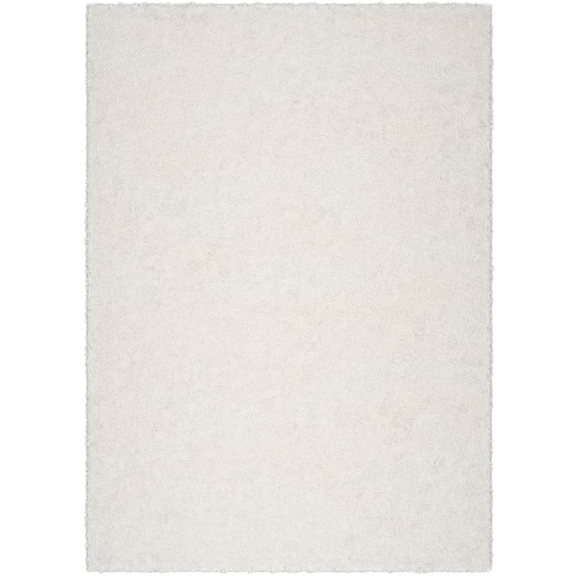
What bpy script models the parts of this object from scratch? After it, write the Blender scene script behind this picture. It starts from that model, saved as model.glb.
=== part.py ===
"""A shag rug of 5 x 7 ft, lying flat on the floor.

Metres, +Z up. +Y runs along the rug's length, and the origin is on the floor under the rug's centre.
The rug is two pieces: the backing cloth, and the tufted pile that stands on it. The pile is a lumpy
slab whose rim breaks up into locks of yarn, which fall outwards over the edge and rest on the floor.
"""

import math

import bmesh
import bpy
from mathutils import Vector, noise

# The rug's size, over the tips of its rim locks.
RUG_WIDTH = 1.528
RUG_LENGTH = 2.134
RUG_HEIGHT = 0.030
CORNER_RADIUS = 0.014

# The backing cloth ends a little inside the pile's wall.
BACKING_THICKNESS = 0.0025
BACKING_INSET = 0.008
BACKING_CORNER_STEPS = 6
SEAT_GAP = 0.0003

# The pile's wall stands this far inside the rug's outline, because the longest locks reach past it.
LOCK_REACH = 0.009
WALL_HALF_WIDTH = RUG_WIDTH / 2 - LOCK_REACH
WALL_HALF_LENGTH = RUG_LENGTH / 2 - LOCK_REACH

# The slab's top is a grid of cells, and every cell along its edge is cut into lock and gap widths.
CELLS_ACROSS = 32
CELLS_ALONG = 45
CUTS_PER_EDGE_CELL = 2
RIM_JITTER = 0.0045
EVEN_CORNER = 0.050
SHOULDER = 0.012
WALL_TOP_HEIGHT = 0.0185
PILE_BOTTOM = BACKING_THICKNESS + SEAT_GAP
WALL_FOOT_TUCK = 0.002

# Lumps of the top: the size of each kind of lump, its height up and down, and its place in the noise.
LUMPS = (
    {"size": 0.085, "height": 0.0042, "offset": 3.0},
    {"size": 0.190, "height": 0.0016, "offset": 17.0},
    {"size": 0.520, "height": 0.0008, "offset": 41.0},
)
CELL_JITTER = 0.010
CROWN_WIDTH = 0.060
CROWN_DROP = 0.0035

# The long sides and the ends wander by this much over this distance.
SIDE_DRIFT = 0.0018
SIDE_DRIFT_SIZE = 0.16

# A lock's sections from the wall to its tip. The reaches are shares of the lock's own reach, the
# heights are over the floor, and the width is a share of the lock's width at the wall.
LOCK_SECTIONS = (
    {"top_reach": 0.48, "top": 0.0162, "under_reach": 0.34, "under": 0.0012, "width": 1.10},
    {"top_reach": 0.84, "top": 0.0098, "under_reach": 0.68, "under": 0.0000, "width": 0.92},
    {"top_reach": 1.00, "top": 0.0034, "under_reach": 0.98, "under": 0.0000, "width": 0.42},
)
SHORTEST_LOCK = 0.70
LOCK_LEAN = 0.0045
LOCK_HEIGHT_CHANGE = 0.16

PILE_COLOUR = (0.79, 0.75, 0.69, 1.0)
BACKING_COLOUR = (0.62, 0.55, 0.43, 1.0)


def clear_scene():
    for thing in list(bpy.data.objects):
        bpy.data.objects.remove(thing, do_unlink=True)


def rug_collection():
    collection = bpy.data.collections.new("shag_rug")
    bpy.context.scene.collection.children.link(collection)
    return collection


def cloth_material(name, colour, roughness):
    material = bpy.data.materials.new(name)
    material.use_nodes = True
    surface = material.node_tree.nodes["Principled BSDF"]
    surface.inputs["Base Color"].default_value = colour
    surface.inputs["Roughness"].default_value = roughness
    surface.inputs["Metallic"].default_value = 0.0
    return material


def clamped(value, limit):
    return max(-limit, min(limit, value))


def outward(place):
    """The level direction that points out of the rug at a place near its rim."""
    core = Vector(
        (
            clamped(place.x, WALL_HALF_WIDTH - CORNER_RADIUS),
            clamped(place.y, WALL_HALF_LENGTH - CORNER_RADIUS),
        )
    )
    away = (place.xy - core).normalized()
    return Vector((away.x, away.y, 0))


def along_rim(place):
    """The level direction that runs round the rim, at right angles to the outward one."""
    away = outward(place)
    return Vector((-away.y, away.x, 0))


def rounded_corner(place):
    """The place drawn in towards the corner's centre, so that the square corner becomes an arc."""
    centre_x = WALL_HALF_WIDTH - CORNER_RADIUS
    centre_y = WALL_HALF_LENGTH - CORNER_RADIUS
    past_x = abs(place.x) - centre_x
    past_y = abs(place.y) - centre_y
    if past_x <= 0 or past_y <= 0:
        return place.copy()
    share = max(past_x, past_y) / math.hypot(past_x, past_y)
    x = math.copysign(centre_x + past_x * share, place.x)
    y = math.copysign(centre_y + past_y * share, place.y)
    return Vector((x, y, place.z))


def near_corner(place):
    past_x = WALL_HALF_WIDTH - abs(place.x)
    past_y = WALL_HALF_LENGTH - abs(place.y)
    return math.hypot(past_x, past_y) < EVEN_CORNER


def lump_height(place):
    height = 0
    for lump in LUMPS:
        spot = Vector((place.x / lump["size"], place.y / lump["size"], lump["offset"]))
        height += lump["height"] * noise.noise(spot) * 2
    return height


def crown_drop(place):
    """How far the top has rounded down at this distance from the pile's wall."""
    from_wall = min(WALL_HALF_WIDTH - abs(place.x), WALL_HALF_LENGTH - abs(place.y))
    share = max(0.0, 1 - from_wall / CROWN_WIDTH)
    return CROWN_DROP * share * share


def side_drift(place):
    spot = Vector((place.x / SIDE_DRIFT_SIZE, place.y / SIDE_DRIFT_SIZE, 7.0))
    return SIDE_DRIFT * noise.noise(spot) * 2


def lumpy_top(mesh):
    """The slab's top surface, as a grid whose edge is cut to the widths of the locks and gaps."""
    bmesh.ops.create_grid(mesh, x_segments=CELLS_ACROSS, y_segments=CELLS_ALONG, size=1)
    bmesh.ops.bisect_edges(
        mesh, edges=[e for e in mesh.edges if e.is_boundary], cuts=CUTS_PER_EDGE_CELL
    )
    half_width = WALL_HALF_WIDTH - SHOULDER
    half_length = WALL_HALF_LENGTH - SHOULDER
    for vertex in mesh.verts:
        place = Vector((vertex.co.x * half_width, vertex.co.y * half_length, 0))
        shift = noise.noise_vector(place * 40)
        if not vertex.is_boundary:
            place += Vector((shift.x, shift.y, 0)) * CELL_JITTER
        elif not near_corner(place):
            place += along_rim(place) * clamped(2 * shift.x, 1) * RIM_JITTER
        place = rounded_corner(place)
        place.z = lump_height(place) - crown_drop(place)
        vertex.co = place
    highest = max(vertex.co.z for vertex in mesh.verts)
    for vertex in mesh.verts:
        vertex.co.z += RUG_HEIGHT - highest


def extruded_ring(mesh, edges, step_out, height):
    """Extrudes the open edge loop and moves the new loop outwards to a level height."""
    made = bmesh.ops.extrude_edge_only(mesh, edges=edges)["geom"]
    for vertex in (item for item in made if isinstance(item, bmesh.types.BMVert)):
        place = vertex.co + outward(vertex.co) * step_out
        vertex.co = Vector((place.x, place.y, height))
    ring_edges = [item for item in made if isinstance(item, bmesh.types.BMEdge)]
    return [edge for edge in ring_edges if edge.is_boundary]


def rim_order(face):
    """Where a wall face stands on the way round the rug, as an angle that grows all the way."""
    centre = face.calc_center_median()
    return math.atan2(centre.y / WALL_HALF_LENGTH, centre.x / WALL_HALF_WIDTH)


def slab(mesh):
    """Closes the lumpy top into a slab. Returns the faces of its wall, in order round the rim."""
    lumpy_top(mesh)
    edge = [e for e in mesh.edges if e.is_boundary]
    shoulder = extruded_ring(mesh, edge, SHOULDER, WALL_TOP_HEIGHT)
    for vertex in {v for e in shoulder for v in e.verts}:
        vertex.co += outward(vertex.co) * side_drift(vertex.co)
    above = set(mesh.faces)
    foot = extruded_ring(mesh, shoulder, -WALL_FOOT_TUCK, PILE_BOTTOM)
    wall = sorted(set(mesh.faces) - above, key=rim_order)
    bmesh.ops.contextual_create(mesh, geom=foot)
    bmesh.ops.recalc_face_normals(mesh, faces=mesh.faces[:])
    return wall


def lock_sizes(index):
    """The reach, lean and height of one lock, which differ from lock to lock."""
    change = noise.noise_vector(Vector((index * 1.37, 5.1, 2.3)))
    reach = SHORTEST_LOCK + (1 - SHORTEST_LOCK) * (0.5 + clamped(change.x, 0.5))
    return {
        "reach": LOCK_REACH * reach,
        "lean": LOCK_LEAN * clamped(2 * change.y, 1),
        "height": 1 + LOCK_HEIGHT_CHANGE * clamped(2 * change.z, 1),
    }


def shape_section(face, root, root_width, lock, section):
    """Moves the four corners of a lock's end face to one of the lock's sections."""
    away = outward(root)
    sideways = along_rim(root)
    middle = face.calc_center_median().z
    for vertex in face.verts:
        side = 1 if (vertex.co - root).dot(sideways) > 0 else -1
        upper = vertex.co.z > middle
        reach = lock["reach"] * section["top_reach" if upper else "under_reach"]
        height = section["top"] * lock["height"] if upper else section["under"]
        shift = side * root_width * section["width"] / 2
        shift += lock["lean"] * section["top_reach"] ** 2
        place = root + away * reach + sideways * shift
        vertex.co = Vector((place.x, place.y, height))


def draw_out_lock(mesh, face, lock):
    """Draws one face of the wall out into a lock that falls to the floor."""
    centre = face.calc_center_median()
    root = Vector((centre.x, centre.y, 0))
    spans = [(vertex.co - root).dot(along_rim(root)) for vertex in face.verts]
    root_width = max(spans) - min(spans)
    end = face
    for section in LOCK_SECTIONS:
        end = bmesh.ops.extrude_discrete_faces(mesh, faces=[end])["faces"][0]
        shape_section(end, root, root_width, lock, section)


def fit_to_size(mesh):
    """Brings the outline to the rug's width and length, centred on the origin."""
    for axis, size in ((0, RUG_WIDTH), (1, RUG_LENGTH)):
        low = min(vertex.co[axis] for vertex in mesh.verts)
        high = max(vertex.co[axis] for vertex in mesh.verts)
        for vertex in mesh.verts:
            vertex.co[axis] = ((vertex.co[axis] - low) / (high - low) - 0.5) * size


def add_pile(collection):
    mesh = bmesh.new()
    wall = slab(mesh)
    for index, face in enumerate(wall[::2]):
        draw_out_lock(mesh, face, lock_sizes(index))
    fit_to_size(mesh)
    data = bpy.data.meshes.new("pile")
    mesh.to_mesh(data)
    mesh.free()
    data.shade_smooth()
    data.materials.append(cloth_material("shag_pile", PILE_COLOUR, 0.95))
    pile = bpy.data.objects.new("pile", data)
    collection.objects.link(pile)


def backing_outline():
    """The corners of the backing's outline, with a quarter circle at each."""
    half_width = WALL_HALF_WIDTH - BACKING_INSET
    half_length = WALL_HALF_LENGTH - BACKING_INSET
    radius = CORNER_RADIUS - BACKING_INSET
    points = []
    for quarter, (side_x, side_y) in enumerate(((1, 1), (-1, 1), (-1, -1), (1, -1))):
        for step in range(BACKING_CORNER_STEPS + 1):
            angle = (quarter + step / BACKING_CORNER_STEPS) * math.pi / 2
            x = side_x * (half_width - radius) + radius * math.cos(angle)
            y = side_y * (half_length - radius) + radius * math.sin(angle)
            points.append((x, y))
    return points


def add_backing(collection):
    outline = backing_outline()
    curve = bpy.data.curves.new("backing", "CURVE")
    curve.dimensions = "2D"
    curve.fill_mode = "BOTH"
    curve.extrude = BACKING_THICKNESS / 2
    spline = curve.splines.new("POLY")
    spline.points.add(len(outline) - 1)
    for point, (x, y) in zip(spline.points, outline, strict=True):
        point.co = (x, y, 0, 1)
    spline.use_cyclic_u = True
    curve.materials.append(cloth_material("backing_cloth", BACKING_COLOUR, 0.9))
    backing = bpy.data.objects.new("backing", curve)
    backing.location = (0, 0, BACKING_THICKNESS / 2)
    collection.objects.link(backing)


def main():
    clear_scene()
    collection = rug_collection()
    add_backing(collection)
    add_pile(collection)


main()
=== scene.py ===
# %% [markdown]
# # A shag rug of 5 x 7 ft
#
# A shag rug is a coarse backing cloth with thousands of soft yarns tufted through it. The yarns are
# 25 to 30 mm long, so they can't stand up straight: each one bends over and lies on its neighbours,
# and at the rug's rim they fall over the edge to the floor.
#
# The lesson builds it in the order in which a maker would look at it: the backing, a lumpy bed
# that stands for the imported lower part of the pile, and the yarns that grow out of the bed.
# Geometry Nodes plant the yarns, because they repeat tens of thousands of times and follow one
# rule.

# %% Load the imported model
import math

import bmesh
import bpy
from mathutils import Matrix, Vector


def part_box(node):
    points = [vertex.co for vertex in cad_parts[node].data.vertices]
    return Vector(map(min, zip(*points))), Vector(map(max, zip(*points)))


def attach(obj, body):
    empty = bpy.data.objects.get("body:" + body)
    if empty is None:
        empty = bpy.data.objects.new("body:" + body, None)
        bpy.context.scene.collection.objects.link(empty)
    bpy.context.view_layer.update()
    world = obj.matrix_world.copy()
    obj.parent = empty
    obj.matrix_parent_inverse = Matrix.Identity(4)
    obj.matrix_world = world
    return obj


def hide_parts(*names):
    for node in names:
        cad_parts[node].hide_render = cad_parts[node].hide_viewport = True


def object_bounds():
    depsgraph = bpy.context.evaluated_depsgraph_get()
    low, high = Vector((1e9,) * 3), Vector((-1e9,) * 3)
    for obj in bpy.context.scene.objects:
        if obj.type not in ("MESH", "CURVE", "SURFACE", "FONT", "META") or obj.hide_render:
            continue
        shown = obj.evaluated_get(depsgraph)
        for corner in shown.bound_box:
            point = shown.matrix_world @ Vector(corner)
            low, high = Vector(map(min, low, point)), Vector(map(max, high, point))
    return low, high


# The yarns fall over a line close to the solid's outline. It is this much outside that outline, so
# that the tips end where the photo's do.
EDGE_SHIFT = (-0.0023, 0.0010)

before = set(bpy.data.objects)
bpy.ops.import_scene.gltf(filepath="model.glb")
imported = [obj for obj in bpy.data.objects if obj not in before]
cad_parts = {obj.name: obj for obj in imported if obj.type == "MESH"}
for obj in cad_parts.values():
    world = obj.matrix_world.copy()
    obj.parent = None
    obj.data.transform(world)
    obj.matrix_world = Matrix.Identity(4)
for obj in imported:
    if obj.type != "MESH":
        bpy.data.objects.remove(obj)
cad_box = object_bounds()
rug_low, rug_high = cad_box
rug_size = rug_high - rug_low
HALF_SIZE = (rug_high.x + EDGE_SHIFT[0], rug_high.y + EDGE_SHIFT[1], 1.0)
print(f"The rug is {rug_size.x:.3f} x {rug_size.y:.3f} m and {rug_size.z * 1000:.0f} mm high")

# %% [markdown]
# ## Camera
#
# The photo looks straight down, and the rug's long side stands upright in it. The camera is
# therefore high above the rug, with a long lens, so that all four sides are seen at the same flat
# angle. Its distance follows from one measure: how wide a strip of floor the picture takes in.

# %% Camera
PICTURE_WIDTH = 2.1555
RUG_SHIFT = Vector((0.0040, -0.0002))
LENS = 150.0
SENSOR = 36.0
RIM_HEIGHT = 0.010
CLIP_END = 100

camera_data = bpy.data.cameras.new("camera")
camera_data.lens = LENS
camera_data.sensor_width = SENSOR
camera_data.clip_end = CLIP_END
camera = bpy.data.objects.new("camera", camera_data)
camera.location = (-RUG_SHIFT.x, -RUG_SHIFT.y, RIM_HEIGHT + PICTURE_WIDTH * LENS / SENSOR)
bpy.context.scene.collection.objects.link(camera)
bpy.context.scene.camera = camera
print(f"The camera is {camera.location.z:.2f} m above the floor")

# %% [markdown]
# ## Helpers for node trees
#
# The same few lines are needed in every tree: add a node, set its options, and fill each of its
# inputs with a number or with another node's output. They are written once here.


# %% Helpers for node trees
def add_node(tree, kind, inputs=None, **options):
    node = tree.nodes.new(kind)
    for name, value in options.items():
        setattr(node, name, value)
    for key, value in (inputs or {}).items():
        if isinstance(value, bpy.types.NodeSocket):
            tree.links.new(value, node.inputs[key])
        else:
            node.inputs[key].default_value = value
    return node


def calc(tree, operation, *values):
    node = add_node(tree, "ShaderNodeMath", dict(enumerate(values)), operation=operation)
    return node.outputs[0]


def vector_calc(tree, operation, *values):
    node = add_node(tree, "ShaderNodeVectorMath", dict(enumerate(values)), operation=operation)
    return node.outputs["Value" if operation in ("DOT_PRODUCT", "LENGTH") else "Vector"]


def scaled(tree, vector, factor):
    node = add_node(tree, "ShaderNodeVectorMath", {0: vector, "Scale": factor}, operation="SCALE")
    return node.outputs["Vector"]


def new_inputs(tree, sockets):
    """Gives a tree its named inputs, each with a kind and the value it starts with."""
    for name, (kind, value) in sockets.items():
        socket = tree.interface.new_socket(name, in_out="INPUT", socket_type=kind)
        if value is not None:
            socket.default_value = value
    return tree.nodes.new("NodeGroupInput").outputs


def group_node(tree, group, values):
    node = add_node(tree, "ShaderNodeGroup", node_tree=group)
    for key, value in values.items():
        node.inputs[key].default_value = value
    return node


def plain_material(name):
    material = bpy.data.materials.new(name)
    material.use_nodes = True
    return material, material.node_tree, material.node_tree.nodes["Principled BSDF"]


# %% [markdown]
# ## The colour of the wool
#
# The rug is one off-white, but no wool is even. Faint creamy and faint cool patches a hand or two
# wide run across it, and each yarn took the dye a little differently. The patches are noise on
# Object coordinates, so they belong to the rug and run on from one strip of pile to the next. The
# wool turns cooler along the rim, and a little over the last half metre at the foot, as in the
# photo. The bed and the yarns share the group.

# %% The group for the wool's patches
PATCH_STRETCH = (0.55, 1.0, 1.0)
PATCH_DETAIL = 3.0
PATCH_SHIFTS = {"Cream": 0.0, "Cool": 7.3}
PATCH_EDGE = (0.48, 0.68)


def patch_group():
    tree = bpy.data.node_groups.new("wool_patches", "ShaderNodeTree")
    given = new_inputs(
        tree,
        {
            "Wool": ("NodeSocketColor", (0.8, 0.76, 0.7, 1)),
            "Cream": ("NodeSocketColor", (0.8, 0.75, 0.66, 1)),
            "Cool": ("NodeSocketColor", (0.8, 0.78, 0.74, 1)),
            "Rim": ("NodeSocketColor", (0.8, 0.79, 0.78, 1)),
            "Rim band": ("NodeSocketFloat", 0.045),
            "Foot band": ("NodeSocketFloat", 0.55),
            "Foot share": ("NodeSocketFloat", 0.35),
            "Half size": ("NodeSocketVector", (0.75, 1.05, 1.0)),
            "Patch size": ("NodeSocketFloat", 0.2),
            "Patch strength": ("NodeSocketFloat", 0.5),
        },
    )
    tree.interface.new_socket("Color", in_out="OUTPUT", socket_type="NodeSocketColor")
    place = add_node(tree, "ShaderNodeTexCoord").outputs["Object"]
    stretched = vector_calc(tree, "MULTIPLY", place, PATCH_STRETCH)
    scale = calc(tree, "DIVIDE", 1.0, given["Patch size"])
    colour = given["Wool"]
    for tint, shift in PATCH_SHIFTS.items():
        moved = vector_calc(tree, "ADD", stretched, (shift, shift, shift))
        patches = add_node(
            tree, "ShaderNodeTexNoise", {"Vector": moved, "Scale": scale, "Detail": PATCH_DETAIL}
        )
        low, high = PATCH_EDGE
        amount = add_node(
            tree,
            "ShaderNodeMapRange",
            {"Value": patches.outputs["Fac"], "From Min": low, "From Max": high},
        )
        share = calc(tree, "MULTIPLY", amount.outputs["Result"], given["Patch strength"])
        mixed = add_node(
            tree,
            "ShaderNodeMix",
            {0: share, 6: colour, 7: given[tint]},
            data_type="RGBA",
        )
        colour = mixed.outputs[2]
    from_rim = vector_calc(
        tree, "SUBTRACT", given["Half size"], vector_calc(tree, "ABSOLUTE", place)
    )
    axes = add_node(tree, "ShaderNodeSeparateXYZ", {0: from_rim}).outputs
    nearest = calc(tree, "MINIMUM", axes["X"], axes["Y"])
    inside = add_node(
        tree, "ShaderNodeMapRange", {"Value": nearest, "From Max": given["Rim band"]}
    )
    from_foot = vector_calc(tree, "ADD", given["Half size"], place)
    past_foot = add_node(
        tree,
        "ShaderNodeMapRange",
        {
            "Value": add_node(tree, "ShaderNodeSeparateXYZ", {0: from_foot}).outputs["Y"],
            "From Max": given["Foot band"],
            "To Min": calc(tree, "SUBTRACT", 1.0, given["Foot share"]),
        },
    )
    share = calc(tree, "MULTIPLY", inside.outputs["Result"], past_foot.outputs["Result"])
    mixed = add_node(
        tree,
        "ShaderNodeMix",
        {0: share, 6: given["Rim"], 7: colour},
        data_type="RGBA",
    )
    add_node(tree, "NodeGroupOutput", {"Color": mixed.outputs[2]})
    return tree


wool_patches = patch_group()
print("wool_patches takes", [socket.name for socket in wool_patches.interface.items_tree])

# %% [markdown]
# ## The wool's fibres
#
# Close to, a yarn is a bundle of crimped fibres, so its surface is never smooth, and light passes
# some way into it. The shading is softer than a solid tube's would be. The group turns the
# surface's direction part of the way towards that of the pile below it, and a fine noise bump gives
# the fuzz.


# %% The group for the fibres
def fibre_group():
    tree = bpy.data.node_groups.new("wool_fibres", "ShaderNodeTree")
    given = new_inputs(
        tree,
        {
            "Fibre size": ("NodeSocketFloat", 0.0015),
            "Height": ("NodeSocketFloat", 0.0004),
            "Softness": ("NodeSocketFloat", 0.35),
        },
    )
    tree.interface.new_socket("Normal", in_out="OUTPUT", socket_type="NodeSocketVector")
    own_normal = add_node(tree, "ShaderNodeNewGeometry").outputs["Normal"]
    pile_normal = add_node(tree, "ShaderNodeAttribute", attribute_name="yarn_up").outputs["Vector"]
    softened = add_node(
        tree,
        "ShaderNodeMix",
        {0: given["Softness"], 4: own_normal, 5: pile_normal},
        data_type="VECTOR",
    ).outputs[1]
    softened = vector_calc(tree, "NORMALIZE", softened)
    place = add_node(tree, "ShaderNodeTexCoord").outputs["Object"]
    scale = calc(tree, "DIVIDE", 1.0, given["Fibre size"])
    fuzz = add_node(
        tree, "ShaderNodeTexNoise", {"Vector": place, "Scale": scale, "Detail": 2.0}
    )
    height = calc(tree, "MULTIPLY", fuzz.outputs["Fac"], given["Height"])
    bump = add_node(
        tree, "ShaderNodeBump", {"Height": height, "Distance": 1.0, "Normal": softened}
    )
    add_node(tree, "NodeGroupOutput", {"Normal": bump.outputs["Normal"]})
    return tree


wool_fibres = fibre_group()
print("wool_fibres takes", [socket.name for socket in wool_fibres.interface.items_tree])

# %% [markdown]
# ## Strands of the bed
#
# Between the modelled yarns the bed shows through, and it should look like more yarn. Three noises
# are drawn out long in three directions, and the highest of them wins at each point, so strands
# seem to lie over each other.

# %% The group for the bed's strands
STRAND_TURNS = (10, 70, 130)


def strand_group():
    tree = bpy.data.node_groups.new("wool_strands", "ShaderNodeTree")
    given = new_inputs(
        tree,
        {
            "Strand width": ("NodeSocketFloat", 0.004),
            "Strand length": ("NodeSocketFloat", 0.016),
            "Height": ("NodeSocketFloat", 0.0015),
        },
    )
    tree.interface.new_socket("Normal", in_out="OUTPUT", socket_type="NodeSocketVector")
    place = add_node(tree, "ShaderNodeTexCoord").outputs["Object"]
    stretch = add_node(
        tree,
        "ShaderNodeCombineXYZ",
        {
            "X": calc(tree, "DIVIDE", 1.0, given["Strand length"]),
            "Y": calc(tree, "DIVIDE", 1.0, given["Strand width"]),
            "Z": calc(tree, "DIVIDE", 1.0, given["Strand width"]),
        },
    ).outputs[0]
    highest = 0.0
    for turn in STRAND_TURNS:
        turned = add_node(
            tree,
            "ShaderNodeVectorRotate",
            {"Vector": place, "Angle": math.radians(turn)},
            rotation_type="Z_AXIS",
        ).outputs[0]
        drawn = vector_calc(tree, "MULTIPLY", turned, stretch)
        strands = add_node(
            tree, "ShaderNodeTexNoise", {"Vector": drawn, "Scale": 1.0, "Detail": 1.0}
        )
        highest = calc(tree, "MAXIMUM", highest, strands.outputs["Fac"])
    height = calc(tree, "MULTIPLY", highest, given["Height"])
    bump = add_node(tree, "ShaderNodeBump", {"Height": height, "Distance": 1.0})
    add_node(tree, "NodeGroupOutput", {"Normal": bump.outputs["Normal"]})
    return tree


wool_strands = strand_group()
print("wool_strands takes", [socket.name for socket in wool_strands.interface.items_tree])

# %% [markdown]
# ## Three kinds of wool
#
# The yarns, the rim's yarns and the bed are the same wool, with light and shade painted into the
# colour of two of them. The bed's colour is a little darker than the yarns', a painted shade for
# the little light that reaches it between them, and it is this difference that lets single yarns be
# seen from above. The rim's yarns hang down and show the camera their sides, so their colour is
# painted lighter, and their shading is harder.

# %% Wool materials
PATCHES = {
    "Wool": (0.722, 0.694, 0.651, 1),
    "Cream": (0.722, 0.684, 0.628, 1),
    "Cool": (0.717, 0.698, 0.670, 1),
    "Rim": (0.71, 0.705, 0.695, 1),
    "Rim band": 0.045,
    "Foot band": 0.55,
    "Foot share": 0.35,
    "Half size": HALF_SIZE,
    "Patch size": 0.18,
    "Patch strength": 0.8,
}
WOOL_SURFACE = {
    "Roughness": 0.9,
    "Sheen Weight": 0.15,
    "Sheen Roughness": 0.5,
    "Specular IOR Level": 0.25,
}
FIBRES = {"Fibre size": 0.0016, "Height": 0.0001, "Softness": 0.42}
RIM_SOFTNESS = 0.1
BED_STRANDS = {"Strand width": 0.004, "Strand length": 0.016, "Height": 0.0015}
YARN_CHANGE = 0.015
YARN_TONE = 0.997
# Painted light: the rim's wool colour is made lighter than the yarns', for the light its hanging
# sides lose.
RIM_PAINTED_LIGHT = 1.22
# Painted shade: the bed's wool colour is made darker, for the shade between the yarns.
BED_PAINTED_SHADE = 0.94


def wool_material(name, tone_and_painted_light, relief, values):
    """Patchy wool times a tone, which holds painted light and shade, each yarn of its own shade,
    with the relief of this group.
    """
    material, tree, surface = plain_material(name)
    patches = group_node(tree, wool_patches, PATCHES)
    shade = add_node(tree, "ShaderNodeAttribute", attribute_name="yarn_shade")
    change = add_node(
        tree,
        "ShaderNodeMapRange",
        {"Value": shade.outputs["Fac"], "To Min": tone_and_painted_light - YARN_CHANGE, "To Max": tone_and_painted_light + YARN_CHANGE},
    )
    colour = scaled(tree, patches.outputs["Color"], change.outputs["Result"])
    form = group_node(tree, relief, values)
    tree.links.new(colour, surface.inputs["Base Color"])
    tree.links.new(form.outputs["Normal"], surface.inputs["Normal"])
    for key, value in WOOL_SURFACE.items():
        surface.inputs[key].default_value = value
    return material


yarn_wool = wool_material("yarn_wool", YARN_TONE, wool_fibres, FIBRES)
# The rim's wool has painted light: its colour is lighter than the yarns'.
rim_wool_painted_light = wool_material("rim_wool_painted_light", RIM_PAINTED_LIGHT, wool_fibres, {**FIBRES, "Softness": RIM_SOFTNESS})
# The bed's wool has painted shade: its colour is darker than the yarns'.
bed_wool_painted_shade = wool_material("bed_wool_painted_shade", BED_PAINTED_SHADE, wool_strands, BED_STRANDS)
print("Wool materials:", yarn_wool.name, rim_wool_painted_light.name, bed_wool_painted_shade.name)

# %% [markdown]
# ## The backing
#
# Underneath is the cloth that holds the tufts: a coarse plain weave, stiff with glue, cut a little
# smaller than the pile, with rounded corners. It is a thin sheet, so a grid with a thickness will
# do, and its threads are in the material, because each is only 3 mm wide.

# %% Backing material
THREAD_PITCH = 0.0030
BACKING_COLOUR = (0.62, 0.55, 0.43, 1)
THREAD_SHADOW = (0.40, 0.34, 0.25, 1)
THREAD_RELIEF = 0.0006
BACKING_ROUGHNESS = 0.9
FUZZ_SCALE = 400.0
FUZZ_HEIGHT = 0.5


def weave_material():
    """A plain weave: two crossed waves that take turns to lie on top, as a chequer decides."""
    material, tree, surface = plain_material("backing_weave")
    place = add_node(tree, "ShaderNodeTexCoord").outputs["Object"]
    axes = add_node(tree, "ShaderNodeSeparateXYZ", {0: place}).outputs
    turns = math.pi / THREAD_PITCH
    warp = calc(tree, "SINE", calc(tree, "MULTIPLY", axes["X"], turns))
    weft = calc(tree, "SINE", calc(tree, "MULTIPLY", axes["Y"], turns))
    crossing = calc(tree, "MULTIPLY", warp, weft)
    thread_x = calc(tree, "ABSOLUTE", warp)
    thread_y = calc(tree, "ABSOLUTE", weft)
    over = calc(tree, "GREATER_THAN", crossing, 0.0)
    threads = add_node(tree, "ShaderNodeMix", {0: over, 2: thread_x, 3: thread_y}).outputs[0]
    fuzz = add_node(tree, "ShaderNodeTexNoise", {"Vector": place, "Scale": FUZZ_SCALE})
    fuzz_height = calc(tree, "MULTIPLY", fuzz.outputs["Fac"], FUZZ_HEIGHT)
    height = calc(tree, "ADD", threads, fuzz_height)
    bump = add_node(tree, "ShaderNodeBump", {"Height": height, "Distance": THREAD_RELIEF})
    colour = add_node(
        tree,
        "ShaderNodeMix",
        {0: threads, 6: THREAD_SHADOW, 7: BACKING_COLOUR},
        data_type="RGBA",
    )
    tree.links.new(colour.outputs[2], surface.inputs["Base Color"])
    tree.links.new(bump.outputs["Normal"], surface.inputs["Normal"])
    surface.inputs["Roughness"].default_value = BACKING_ROUGHNESS
    return material


backing_weave = weave_material()
print(f"The backing's threads are {THREAD_PITCH * 1000:.0f} mm apart")

# %% Backing cloth
backing_low, backing_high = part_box("backing")
BACKING_CORNER = 0.006
BACKING_CELLS = (24, 34)


def rounded(x, y, half_width, half_length, radius):
    """Draws a point near a square corner in towards its centre, so that the corner is an arc."""
    past_x, past_y = abs(x) - (half_width - radius), abs(y) - (half_length - radius)
    if past_x <= 0 or past_y <= 0:
        return x, y
    share = max(past_x, past_y) / math.hypot(past_x, past_y)
    return (
        math.copysign(half_width - radius + past_x * share, x),
        math.copysign(half_length - radius + past_y * share, y),
    )


def backing_cloth():
    half_width, half_length = backing_high.x, backing_high.y
    mesh = bmesh.new()
    bmesh.ops.create_grid(mesh, x_segments=BACKING_CELLS[0], y_segments=BACKING_CELLS[1], size=1)
    for vertex in mesh.verts:
        x, y = vertex.co.x * half_width, vertex.co.y * half_length
        x, y = rounded(x, y, half_width, half_length, BACKING_CORNER)
        vertex.co = (x, y, backing_high.z)
    data = bpy.data.meshes.new("backing_cloth")
    mesh.to_mesh(data)
    mesh.free()
    data.materials.append(backing_weave)
    cloth = bpy.data.objects.new("backing_cloth", data)
    bpy.context.scene.collection.objects.link(cloth)
    thickness = cloth.modifiers.new("thickness", "SOLIDIFY")
    thickness.thickness = backing_high.z - backing_low.z
    thickness.offset = -1
    return cloth


backing = backing_cloth()
print(f"The backing is {2 * backing_high.x:.3f} x {2 * backing_high.y:.3f} m")

# %% [markdown]
# ## The bed of the pile
#
# The lower half of the pile is packed so tight that no single yarn shows. The bed stands for it.
# It is the CAD slab itself with its triangles welded together, drawn in by the room that the yarns
# need on the top and round the rim. The rim locks stay in it, so yarns that are planted on them
# follow them.

# %% Pile bed
TOP_ROOM = 0.0050
RIM_ROOM = 0.0040
WELD_DISTANCE = 1e-5


def pile_bed():
    slab = bmesh.new()
    slab.from_mesh(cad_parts["pile"].data)
    bmesh.ops.remove_doubles(slab, verts=slab.verts, dist=WELD_DISTANCE)
    pile_low, pile_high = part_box("pile")
    rise = pile_high.z - pile_low.z
    fewer = Vector((1 - RIM_ROOM / pile_high.x, 1 - RIM_ROOM / pile_high.y, 1 - TOP_ROOM / rise))
    bottom = Vector((0, 0, pile_low.z))
    for vertex in slab.verts:
        vertex.co = bottom + fewer * (vertex.co - bottom)
    data = bpy.data.meshes.new("pile_bed")
    slab.to_mesh(data)
    slab.free()
    data.shade_smooth()
    data.materials.clear()
    # The bed's wool has painted shade in its colour.
    data.materials.append(bed_wool_painted_shade)
    bed = bpy.data.objects.new("pile_bed", data)
    bpy.context.scene.collection.objects.link(bed)
    return bed


def triangles(piece):
    return sum(len(face.vertices) - 2 for face in piece.data.polygons)


bed = pile_bed()
print(f"The bed has {triangles(bed)} triangles")

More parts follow.
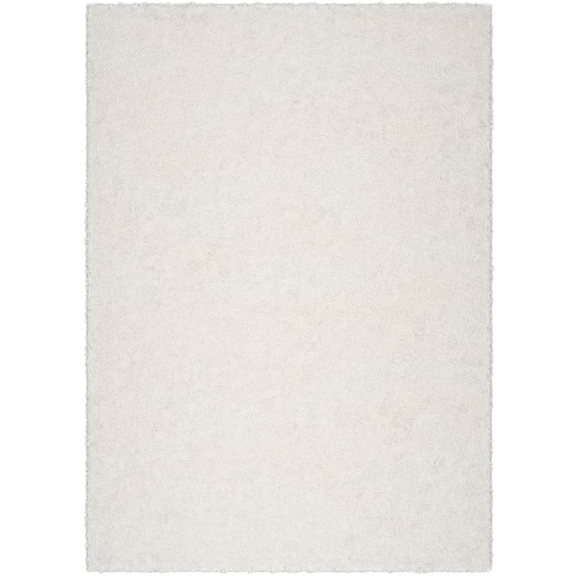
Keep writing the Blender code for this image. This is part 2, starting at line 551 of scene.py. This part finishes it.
# %% [markdown]
# ## The yarns
#
# Every yarn does the same thing: it leaves the bed along the surface's own direction and bends over
# into an arc, as a bristle would under its own weight. Which way it leans is the interesting part.
# Feet and brushes comb a shag into slow swirls, and yarns next to each other cling together, so the
# lean is the sum of a wide swirl, a narrower one and a good deal of chance. A swirl runs round the
# hills and hollows of a noise. Yarns that leaned downhill instead would pile up in the hollows and
# leave the hills bare. On the steep rim gravity is added, which turns the same rule into yarns that
# hang over the edge.
#
# The tree plants the points, lays a short curve on each, bends it, and gives it a skin that gets
# thinner towards the tip, with a small cap at each end. The pile is grown in strips of rug, so that
# no piece gets too heavy.


# %% Yarn tree: near the rim
def past_line(tree, place, given, inset):
    """How far a place is past a line that runs inside the rim at this inset, as a level vector."""
    step = add_node(tree, "ShaderNodeCombineXYZ", {"X": given[inset], "Y": given[inset]})
    line = vector_calc(tree, "SUBTRACT", given["Half size"], step.outputs[0])
    held = vector_calc(tree, "MINIMUM", place, line)
    held = vector_calc(tree, "MAXIMUM", held, scaled(tree, line, -1.0))
    return vector_calc(tree, "SUBTRACT", place, held)


def combed_outwards(tree, place, given):
    """Points out of the rug: nothing at the comb band's inner line, and longest at the rim."""
    past = past_line(tree, place, given, "Comb band")
    return scaled(tree, past, calc(tree, "DIVIDE", given["Comb"], given["Comb band"]))


def hung_over(tree, place, given):
    """Draws in the part of a yarn that is past the edge, and lets it hang down by its length."""
    past = past_line(tree, place, given, "Edge")
    far = vector_calc(tree, "LENGTH", past)
    drop = add_node(
        tree, "ShaderNodeCombineXYZ", {"Z": calc(tree, "MULTIPLY", far, given["Hang"])}
    ).outputs[0]
    drawn_in = scaled(tree, past, calc(tree, "SUBTRACT", 1.0, given["Overhang"]))
    place = vector_calc(tree, "SUBTRACT", place, drawn_in)
    return vector_calc(tree, "SUBTRACT", place, drop)


# %% Yarn tree: the direction of each yarn
SWIRL_STEP = 0.1


def swirled(tree, place, size):
    """A level direction that runs round the hills and hollows of a noise of this size."""
    place = scaled(tree, place, calc(tree, "DIVIDE", 1.0, size))
    heights = []
    for step in ((0.0, 0.0, 0.0), (SWIRL_STEP, 0.0, 0.0), (0.0, SWIRL_STEP, 0.0)):
        moved = vector_calc(tree, "ADD", place, step)
        hills = add_node(tree, "ShaderNodeTexNoise", {"Vector": moved, "Scale": 1.0, "Detail": 1.0})
        heights.append(hills.outputs[0])
    here, right, ahead = heights
    turned = add_node(
        tree,
        "ShaderNodeCombineXYZ",
        {"X": calc(tree, "SUBTRACT", ahead, here), "Y": calc(tree, "SUBTRACT", here, right)},
    )
    return scaled(tree, turned.outputs[0], 1 / SWIRL_STEP)


def yarn_directions(tree, given, up):
    """The direction in which each yarn bends over, at right angles to the surface's own."""
    place = add_node(tree, "GeometryNodeInputPosition").outputs[0]
    lean = (0.0, 0.0, 0.0)
    for size, strength in (("Swirl size", "Swirl"), ("Clump size", "Clumping")):
        lean = vector_calc(
            tree, "ADD", lean, scaled(tree, swirled(tree, place, given[size]), given[strength])
        )
    chance = add_node(
        tree,
        "FunctionNodeRandomValue",
        {0: (-1, -1, -1), 1: (1, 1, 1), "Seed": given["Seed"]},
        data_type="FLOAT_VECTOR",
    )
    lean = vector_calc(tree, "ADD", lean, scaled(tree, chance.outputs[0], given["Chance"]))
    up_z = add_node(tree, "ShaderNodeSeparateXYZ", {0: up}).outputs["Z"]
    steep = calc(tree, "SUBTRACT", 1.0, up_z)
    weight = calc(tree, "MULTIPLY", steep, given["Gravity"])
    fall = add_node(tree, "ShaderNodeCombineXYZ", {"Z": calc(tree, "MULTIPLY", weight, -1.0)})
    lean = vector_calc(tree, "ADD", lean, fall.outputs[0])
    lean = vector_calc(tree, "ADD", lean, combed_outwards(tree, place, given))
    along_up = scaled(tree, up, vector_calc(tree, "DOT_PRODUCT", lean, up))
    return vector_calc(tree, "NORMALIZE", vector_calc(tree, "SUBTRACT", lean, along_up))


# %% Yarn tree: its inputs, and where the yarns stand
YARN_INPUTS = {
    "Geometry": ("NodeSocketGeometry", None),
    "Spacing": ("NodeSocketFloat", 0.0060),
    "Strip start": ("NodeSocketFloat", -2.0),
    "Strip end": ("NodeSocketFloat", 2.0),
    "Reach": ("NodeSocketFloat", 0.0245),
    "Rise": ("NodeSocketFloat", 0.0006),
    "Stray rise": ("NodeSocketFloat", 0.0006),
    "Change": ("NodeSocketFloat", 0.15),
    "Lump size": ("NodeSocketFloat", 0.026),
    "Lumps": ("NodeSocketFloat", 0.0),
    "Yarn radius": ("NodeSocketFloat", 0.0030),
    "Root depth": ("NodeSocketFloat", 0.003),
    "Curl": ("NodeSocketFloat", 0.18),
    "Swirl size": ("NodeSocketFloat", 0.16),
    "Swirl": ("NodeSocketFloat", 0.7),
    "Clump size": ("NodeSocketFloat", 0.07),
    "Clumping": ("NodeSocketFloat", 0.5),
    "Chance": ("NodeSocketFloat", 0.8),
    "Gravity": ("NodeSocketFloat", 3.0),
    "Half size": ("NodeSocketVector", (0.75, 1.05, 1.0)),
    "Comb": ("NodeSocketFloat", 1.2),
    "Comb band": ("NodeSocketFloat", 0.04),
    "Edge": ("NodeSocketFloat", 0.012),
    "Overhang": ("NodeSocketFloat", 0.4),
    "Hang": ("NodeSocketFloat", 0.8),
    "Steepest": ("NodeSocketFloat", 0.8),
    "Flattest": ("NodeSocketFloat", 1.1),
    "Seed": ("NodeSocketInt", 7),
    "Wool": ("NodeSocketMaterial", None),
}
DENSEST = 60000.0


def random_number(tree, low, high, seed):
    node = add_node(tree, "FunctionNodeRandomValue", {2: low, 3: high, "Seed": seed})
    return node.outputs[1]


def planted_points(tree, given):
    """Points on the bed's faces of a chosen steepness, spaced as the inputs say, in one strip."""
    normal = add_node(tree, "GeometryNodeInputNormal").outputs[0]
    normal_z = add_node(tree, "ShaderNodeSeparateXYZ", {0: normal}).outputs["Z"]
    chosen = calc(
        tree,
        "MULTIPLY",
        calc(tree, "GREATER_THAN", normal_z, given["Steepest"]),
        calc(tree, "LESS_THAN", normal_z, given["Flattest"]),
    )
    faces = add_node(
        tree,
        "GeometryNodeSeparateGeometry",
        {"Geometry": given["Geometry"], "Selection": chosen},
        domain="FACE",
    )
    spread = add_node(
        tree,
        "GeometryNodeDistributePointsOnFaces",
        {
            "Mesh": faces.outputs["Selection"],
            "Distance Min": given["Spacing"],
            "Density Max": DENSEST,
            "Seed": given["Seed"],
        },
        distribute_method="POISSON",
    )
    place = add_node(tree, "GeometryNodeInputPosition").outputs[0]
    place_y = add_node(tree, "ShaderNodeSeparateXYZ", {0: place}).outputs["Y"]
    before = calc(tree, "LESS_THAN", place_y, given["Strip start"])
    after = calc(tree, "SUBTRACT", 1.0, calc(tree, "LESS_THAN", place_y, given["Strip end"]))
    outside = calc(tree, "GREATER_THAN", calc(tree, "ADD", before, after), 0.5)
    strip = add_node(
        tree,
        "GeometryNodeDeleteGeometry",
        {"Geometry": spread.outputs["Points"], "Selection": outside},
        domain="POINT",
    )
    return strip.outputs[0], spread.outputs["Normal"]


def remembered(tree, points, values):
    """Fixes values on the points, so that they stay the same once each point is a curve."""
    capture = tree.nodes.new("GeometryNodeCaptureAttribute")
    tree.links.new(points, capture.inputs["Geometry"])
    for name, (kind, value) in values.items():
        capture.capture_items.new(kind, name)
        tree.links.new(value, capture.inputs[name])
    return capture.outputs


# %% Yarn tree: what each yarn remembers
LUMP_EDGE = (0.3, 0.7)
STRAY_POWER = 4.0
FULL_TURN = 6.28


def yarn_facts(tree, given):
    """The planted points, each with its root, its directions, its sizes and its shade."""
    seed = given["Seed"]
    points, up = planted_points(tree, given)
    most = calc(tree, "ADD", 1.0, given["Change"])
    least = calc(tree, "SUBTRACT", 1.0, given["Change"])
    length = random_number(tree, least, most, calc(tree, "ADD", seed, 1.0))
    lumps = add_node(
        tree,
        "ShaderNodeTexNoise",
        {"Scale": calc(tree, "DIVIDE", 1.0, given["Lump size"]), "Detail": 0.0},
    )
    low, high = LUMP_EDGE
    lump = add_node(
        tree,
        "ShaderNodeMapRange",
        {
            "Value": lumps.outputs[0],
            "From Min": low,
            "From Max": high,
            "To Min": calc(tree, "SUBTRACT", 1.0, given["Lumps"]),
            "To Max": calc(tree, "ADD", 1.0, given["Lumps"]),
        },
    )
    reach = calc(tree, "MULTIPLY", calc(tree, "MULTIPLY", given["Reach"], length), lump.outputs[0])
    chance = random_number(tree, 0.0, 1.0, calc(tree, "ADD", seed, 2.0))
    stray = calc(tree, "MULTIPLY", calc(tree, "POWER", chance, STRAY_POWER), given["Stray rise"])
    return remembered(
        tree,
        points,
        {
            "root": ("VECTOR", add_node(tree, "GeometryNodeInputPosition").outputs[0]),
            "up": ("VECTOR", up),
            "lean": ("VECTOR", yarn_directions(tree, given, up)),
            "reach": ("FLOAT", reach),
            "rise": ("FLOAT", calc(tree, "ADD", given["Rise"], stray)),
            "phase": (
                "FLOAT",
                random_number(tree, 0.0, FULL_TURN, calc(tree, "ADD", seed, 3.0)),
            ),
            "shade": ("FLOAT", random_number(tree, 0.0, 1.0, calc(tree, "ADD", seed, 4.0))),
        },
    )


# %% Yarn tree: a bent line for each yarn
YARN_POINTS = 4
BEND = 2.1
RUN_POWER = 1.3
CURL_TURN = 4.5


def yarn_lines(tree, given, own, along):
    """A short curve at each point, bent over by its own facts, and kept above the floor."""
    line = add_node(tree, "GeometryNodeCurvePrimitiveLine")
    short_curve = add_node(
        tree, "GeometryNodeResampleCurve", {"Curve": line.outputs[0], "Count": YARN_POINTS}
    )
    laid = add_node(
        tree,
        "GeometryNodeInstanceOnPoints",
        {"Points": own["Geometry"], "Instance": short_curve.outputs[0]},
    )
    curves = add_node(tree, "GeometryNodeRealizeInstances", {0: laid.outputs[0]}).outputs[0]

    arc = calc(tree, "SINE", calc(tree, "MULTIPLY", along, BEND))
    rise = calc(tree, "MULTIPLY", calc(tree, "ADD", own["rise"], given["Root depth"]), arc)
    rise = calc(tree, "SUBTRACT", rise, given["Root depth"])
    run = calc(tree, "MULTIPLY", own["reach"], calc(tree, "POWER", along, RUN_POWER))
    turn = calc(tree, "ADD", calc(tree, "MULTIPLY", along, CURL_TURN), own["phase"])
    curl = calc(tree, "MULTIPLY", own["reach"], given["Curl"])
    curl = calc(tree, "MULTIPLY", curl, calc(tree, "SINE", turn))
    across = vector_calc(tree, "CROSS_PRODUCT", own["up"], own["lean"])
    place = own["root"]
    for direction, distance in ((own["up"], rise), (own["lean"], run), (across, curl)):
        place = vector_calc(tree, "ADD", place, scaled(tree, direction, distance))
    place = hung_over(tree, place, given)
    axes = add_node(tree, "ShaderNodeSeparateXYZ", {0: place}).outputs
    lowest = calc(tree, "MAXIMUM", axes["Z"], given["Yarn radius"])
    place = add_node(
        tree, "ShaderNodeCombineXYZ", {"X": axes["X"], "Y": axes["Y"], "Z": lowest}
    ).outputs[0]
    bent = add_node(tree, "GeometryNodeSetPosition", {"Geometry": curves, "Position": place})
    return bent.outputs[0]


# %% Yarn tree: the skin of each yarn
YARN_SIDES = 3
PROFILE_TURN = -math.pi / 6
TIP_TAPER = 0.7
TIP_BLUNTNESS = 4.0


def yarn_skins(tree, given, lines, along):
    """A closed tube round each line. Its sides are shaded smooth and its two small caps flat."""
    thinner = calc(tree, "MULTIPLY", calc(tree, "POWER", along, TIP_BLUNTNESS), TIP_TAPER)
    taper = calc(tree, "SUBTRACT", 1.0, thinner)
    upright = add_node(tree, "GeometryNodeSetCurveNormal", {"Curve": lines}, mode="Z_UP")
    circle = add_node(
        tree, "GeometryNodeCurvePrimitiveCircle", {"Resolution": YARN_SIDES, "Radius": 1.0}
    )
    profile = add_node(
        tree,
        "GeometryNodeTransform",
        {"Geometry": circle.outputs[0], "Rotation": (0.0, 0.0, PROFILE_TURN)},
    )
    skin = add_node(
        tree,
        "GeometryNodeCurveToMesh",
        {
            "Curve": upright.outputs[0],
            "Profile Curve": profile.outputs[0],
            "Scale": calc(tree, "MULTIPLY", taper, given["Yarn radius"]),
            "Fill Caps": True,
        },
    )
    corners = add_node(tree, "GeometryNodeInputMeshFaceNeighbors").outputs["Vertex Count"]
    is_side = calc(tree, "GREATER_THAN", corners, YARN_SIDES + 0.5)
    smooth = add_node(
        tree,
        "GeometryNodeSetShadeSmooth",
        {"Geometry": skin.outputs[0], "Shade Smooth": is_side},
    )
    return smooth.outputs[0]


# %% Yarn tree: the whole tree
def yarn_tree():
    tree = bpy.data.node_groups.new("yarns", "GeometryNodeTree")
    tree.is_modifier = True
    given = new_inputs(tree, YARN_INPUTS)
    tree.interface.new_socket("Geometry", in_out="OUTPUT", socket_type="NodeSocketGeometry")
    own = yarn_facts(tree, given)
    along = add_node(tree, "GeometryNodeSplineParameter").outputs["Factor"]
    lines = yarn_lines(tree, given, own, along)
    for name, kind, value in (
        ("yarn_shade", "FLOAT", own["shade"]),
        ("yarn_up", "FLOAT_VECTOR", own["up"]),
    ):
        lines = add_node(
            tree,
            "GeometryNodeStoreNamedAttribute",
            {"Geometry": lines, "Name": name, "Value": value},
            data_type=kind,
        ).outputs[0]
    skins = yarn_skins(tree, given, lines, along)
    real = add_node(tree, "GeometryNodeRealizeInstances", {0: skins})
    dyed = add_node(
        tree, "GeometryNodeSetMaterial", {"Geometry": real.outputs[0], "Material": given["Wool"]}
    )
    add_node(tree, "NodeGroupOutput", {"Geometry": dyed.outputs[0]})
    return tree


yarns = yarn_tree()
print("The yarn tree has", len(yarns.nodes), "nodes")


# %% Plant the yarns, strip by strip
def grown(source, name, values):
    """Runs the yarn tree on a mesh with these inputs, and returns the yarns as a plain mesh."""
    planter = bpy.data.objects.new(name + "_planter", source.data)
    bpy.context.scene.collection.objects.link(planter)
    modifier = planter.modifiers.new("yarns", "NODES")
    modifier.node_group = yarns
    sockets = {item.name: item.identifier for item in yarns.interface.items_tree}
    for key, value in values.items():
        modifier[sockets[key]] = value
    graph = bpy.context.evaluated_depsgraph_get()
    data = bpy.data.meshes.new_from_object(planter.evaluated_get(graph), depsgraph=graph)
    data.name = name
    bpy.data.objects.remove(planter)
    piece = bpy.data.objects.new(name, data)
    bpy.context.scene.collection.objects.link(piece)
    return piece


STRIPS = 6
strips = []
for index in range(STRIPS):
    start = rug_low.y + rug_size.y * index / STRIPS
    strip = grown(
        bed,
        f"yarns_{index + 1}",
        {
            "Strip start": start if index else rug_low.y - 1,
            "Strip end": start + rug_size.y / STRIPS if index < STRIPS - 1 else rug_high.y + 1,
            "Half size": HALF_SIZE,
            "Wool": yarn_wool,
        },
    )
    strips.append(strip)
    print(f"{strip.name}: {triangles(strip)} triangles")

# %% [markdown]
# ## The rim
#
# Two more plantings cover the rim. The edge yarns stand on the shoulder and fall over it. They are
# long in some places and short in others, so the outline is as uneven as a real shag's. The rim
# yarns are shorter and thinner, and they hang on the wall and on the locks.

# %% Hang the yarns over the rim
# The edge and rim yarns wear the rim's wool, which has painted light in its colour.
edge_yarns = grown(
    bed,
    "edge_yarns",
    {
        "Spacing": 0.0050,
        "Reach": 0.022,
        "Rise": 0.0005,
        "Change": 0.6,
        "Lumps": 0.75,
        "Chance": 0.5,
        "Comb": 3.0,
        "Steepest": 0.6,
        "Flattest": 0.97,
        "Half size": HALF_SIZE,
        "Seed": 21,
        "Wool": rim_wool_painted_light,
    },
)
rim_yarns = grown(
    bed,
    "rim_yarns",
    {
        "Spacing": 0.0046,
        "Reach": 0.013,
        "Rise": 0.0010,
        "Change": 0.6,
        "Yarn radius": 0.0021,
        "Edge": -0.1,
        "Clumping": 0.8,
        "Chance": 0.6,
        "Steepest": -0.4,
        "Flattest": 0.8,
        "Half size": HALF_SIZE,
        "Seed": 34,
        "Wool": rim_wool_painted_light,
    },
)
for piece in (edge_yarns, rim_yarns):
    print(f"{piece.name}: {triangles(piece)} triangles")
all_yarns = [*strips, edge_yarns, rim_yarns]
print(f"All pieces: {sum(triangles(piece) for piece in (backing, bed, *all_yarns))} triangles")

# %% [markdown]
# ## Put the pieces on the model
#
# The rug has no moving parts, so every piece rides on the one body. The bed stands for the CAD
# slab, and the backing cloth, with the size it was cut to, for the CAD backing; both CAD parts are
# hidden.

# %% Ride and replace
for piece in (backing, bed, *all_yarns):
    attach(piece, "root")
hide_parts("backing")
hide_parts("pile")

# %% [markdown]
# ## Floor and light
#
# The photo shows the rug on plain white. A pale floor under an even sky comes out white too. One
# long, narrow light hangs low over the rug's length, because the wool gets darker towards both long
# sides, and it is a little nearer the foot, where the wool is brightest.

# %% Floor
FLOOR_COLOUR = (0.95, 0.95, 0.95, 1)
FLOOR_ROUGHNESS = 0.9
FLOOR_HALF_SIZE = 30
FLOOR_DEPTH = 0.0003

floor_material, _, floor_surface = plain_material("floor")
floor_surface.inputs["Base Color"].default_value = FLOOR_COLOUR
floor_surface.inputs["Roughness"].default_value = FLOOR_ROUGHNESS
floor_mesh = bmesh.new()
bmesh.ops.create_grid(floor_mesh, x_segments=1, y_segments=1, size=FLOOR_HALF_SIZE)
floor_data = bpy.data.meshes.new("floor")
floor_mesh.to_mesh(floor_data)
floor_mesh.free()
floor_data.materials.append(floor_material)
floor = bpy.data.objects.new("floor", floor_data)
floor.location.z = -FLOOR_DEPTH
bpy.context.scene.collection.objects.link(floor)

# %% Light
SKY_LIGHT = 0.80
LIGHT_PLACE = (-0.06, -0.30, 1.9)
LIGHT_WIDTH = 0.6
LIGHT_LENGTH = 4.0
LIGHT_POWER = 30

bpy.context.scene.view_settings.view_transform = "Standard"
world = bpy.data.worlds.new("studio")
world.use_nodes = True
bpy.context.scene.world = world
sky = world.node_tree.nodes["Background"]
sky.inputs["Color"].default_value = (1, 1, 1, 1)
sky.inputs["Strength"].default_value = SKY_LIGHT

light_data = bpy.data.lights.new("overhead", "AREA")
light_data.shape = "RECTANGLE"
light_data.size = LIGHT_WIDTH
light_data.size_y = LIGHT_LENGTH
light_data.energy = LIGHT_POWER
light = bpy.data.objects.new("overhead", light_data)
light.location = LIGHT_PLACE
light.visible_camera = False
bpy.context.scene.collection.objects.link(light)
print("Lights:", [item.name for item in bpy.data.lights])
